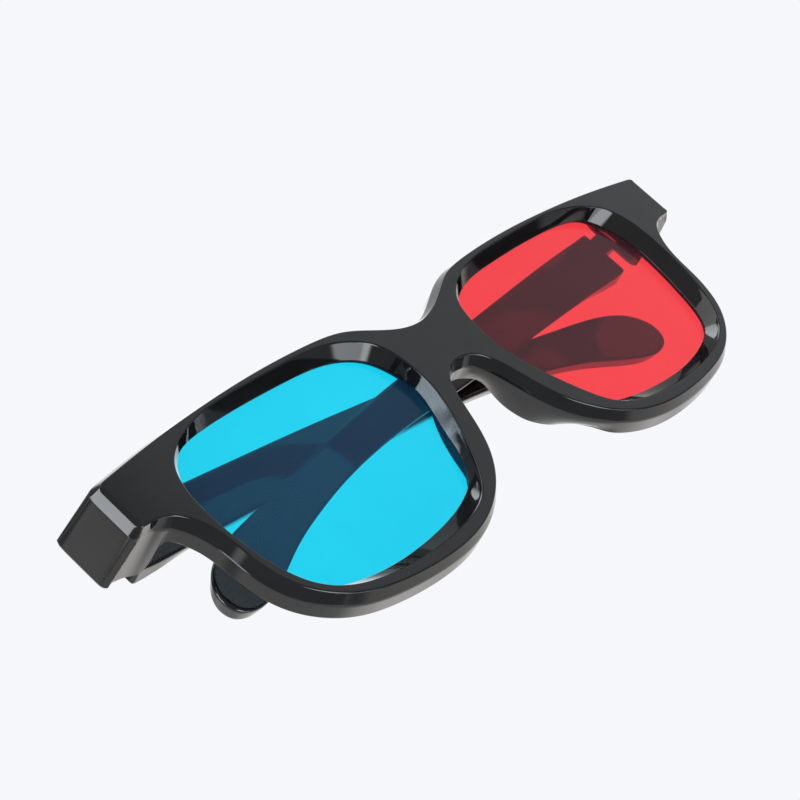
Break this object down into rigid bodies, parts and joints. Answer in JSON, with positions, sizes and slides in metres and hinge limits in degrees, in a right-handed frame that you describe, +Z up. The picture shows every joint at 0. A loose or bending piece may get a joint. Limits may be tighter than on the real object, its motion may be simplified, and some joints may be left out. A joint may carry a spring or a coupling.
{
  "type": "anaglyph 3d glasses",
  "caption": "Folding plastic anaglyph viewing glasses: bowed black front with bevelled rims, red and cyan film lenses, moulded nose pads and hinged temples.",
  "frame": {"origin": "centre of the bounding box, at the level of the lowest rim point, temples folded", "axes": "+X to the wearer's left (red lens), -Y out of the front face, +Z up as worn"},
  "size_m": [0.1488, 0.0222, 0.0444],
  "materials": {
    "black_plastic": "moulded gloss black",
    "red_film": "clear red film",
    "cyan_film": "clear cyan film",
    "pin_steel": "plain steel"
  },
  "bodies": {
    "front": {"front_frame": "black_plastic", "lens_left_red": "red_film", "lens_right_cyan": "cyan_film", "lens_retainer_left": "black_plastic", "lens_retainer_right": "black_plastic", "hinge_pin_left": "pin_steel", "hinge_pin_right": "pin_steel"},
    "left_temple": {"temple_left": "black_plastic"},
    "right_temple": {"temple_right": "black_plastic"}
  },
  "joints": [
    {"name": "left_temple_hinge", "type": "hinge", "parent": "front", "child": "left_temple", "pos_m": [0.06865, 0.00213, 0.03755], "axis": [0, 0, -1], "range_deg": [0, 92.5]},
    {"name": "right_temple_hinge", "type": "hinge", "parent": "front", "child": "right_temple", "pos_m": [-0.06865, 0.00213, 0.03755], "axis": [0, 0, 1], "range_deg": [0, 88.6]}
  ]
}
